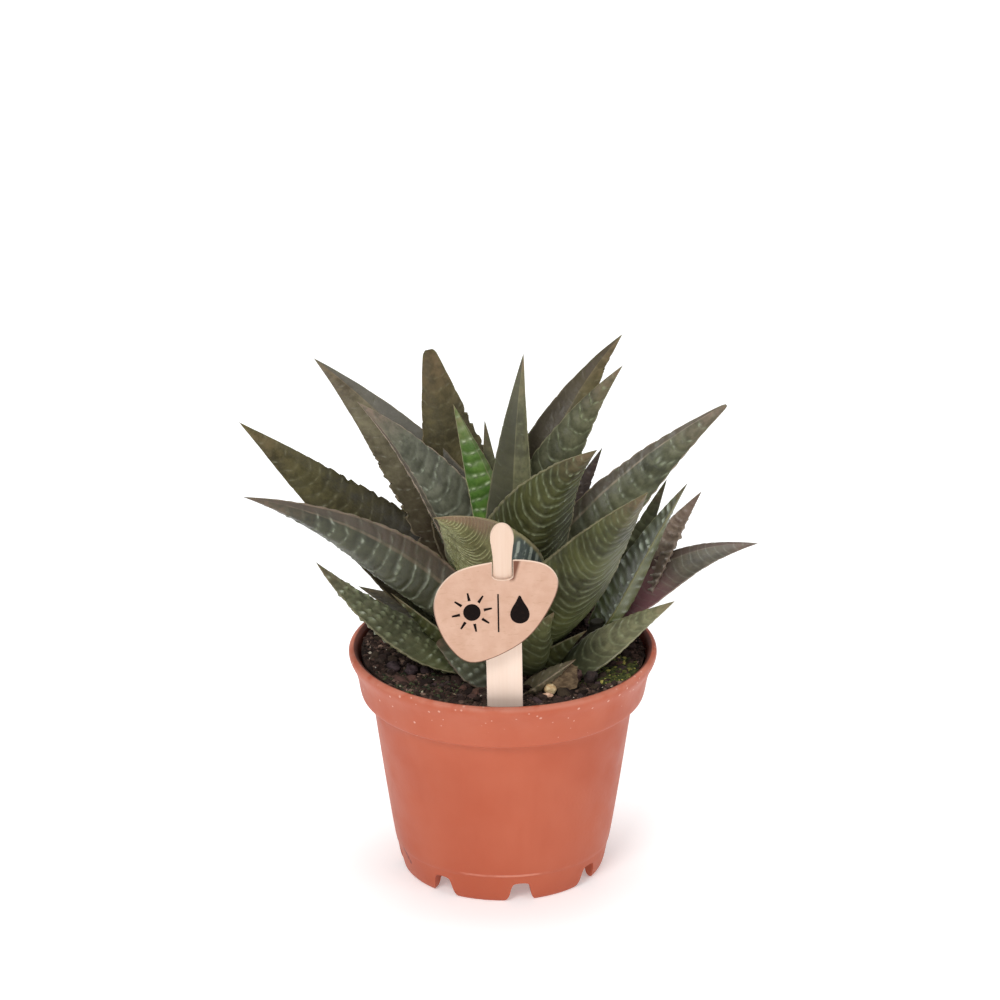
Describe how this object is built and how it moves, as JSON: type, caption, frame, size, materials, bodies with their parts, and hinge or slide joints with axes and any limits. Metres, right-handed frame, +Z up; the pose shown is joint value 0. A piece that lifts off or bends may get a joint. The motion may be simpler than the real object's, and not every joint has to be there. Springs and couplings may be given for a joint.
{
  "type": "potted haworthia",
  "caption": "Haworthia rosette with pointed, cross-ridged leaves and a side shoot in a round plastic nursery pot, with a wooden stick and a card tag.",
  "frame": {"origin": "centre of the pot's foot, on the surface that it stands on", "axes": "+Z up; the stick and the tag face -Y, the front"},
  "size_m": [0.1539, 0.0971, 0.1569],
  "materials": {
    "pot_plastic": "satin terracotta-coloured plastic",
    "potting_soil": "rough, crumbly",
    "leaf": "satin, cross-ridged",
    "leaf_base": "matt",
    "pale_wood": "sanded",
    "kraft_card": "matt"
  },
  "bodies": {
    "root": {"pot": "pot_plastic", "soil": "potting_soil", "stem_main": "leaf_base", "stem_side": "leaf_base", "stick": "pale_wood", "tag": "kraft_card", "leaf_heart_tip": "leaf", "leaf_heart_back": "leaf", "leaf_heart_young": "leaf", "leaf_heart_upright": "leaf", "leaf_inner_left": "leaf", "leaf_inner_right": "leaf", "leaf_inner_front": "leaf", "leaf_tall_right": "leaf", "leaf_tall_cut": "leaf", "leaf_tall_back": "leaf", "leaf_tall_left": "leaf", "leaf_long_right": "leaf", "leaf_long_left": "leaf", "leaf_long_back_left": "leaf", "leaf_broad_front": "leaf", "leaf_back_right": "leaf", "leaf_back": "leaf", "leaf_back_left": "leaf", "leaf_low_front": "leaf", "leaf_low_right_inner": "leaf", "leaf_low_left_inner": "leaf", "leaf_low_left": "leaf", "leaf_side_inner": "leaf", "leaf_side_back": "leaf", "leaf_side_banded": "leaf", "leaf_side_low": "leaf", "leaf_low_right": "leaf", "leaf_short_front": "leaf", "leaf_short_left": "leaf", "leaf_low_back_left": "leaf", "leaf_low_back_right": "leaf"}
  },
  "joints": []
}
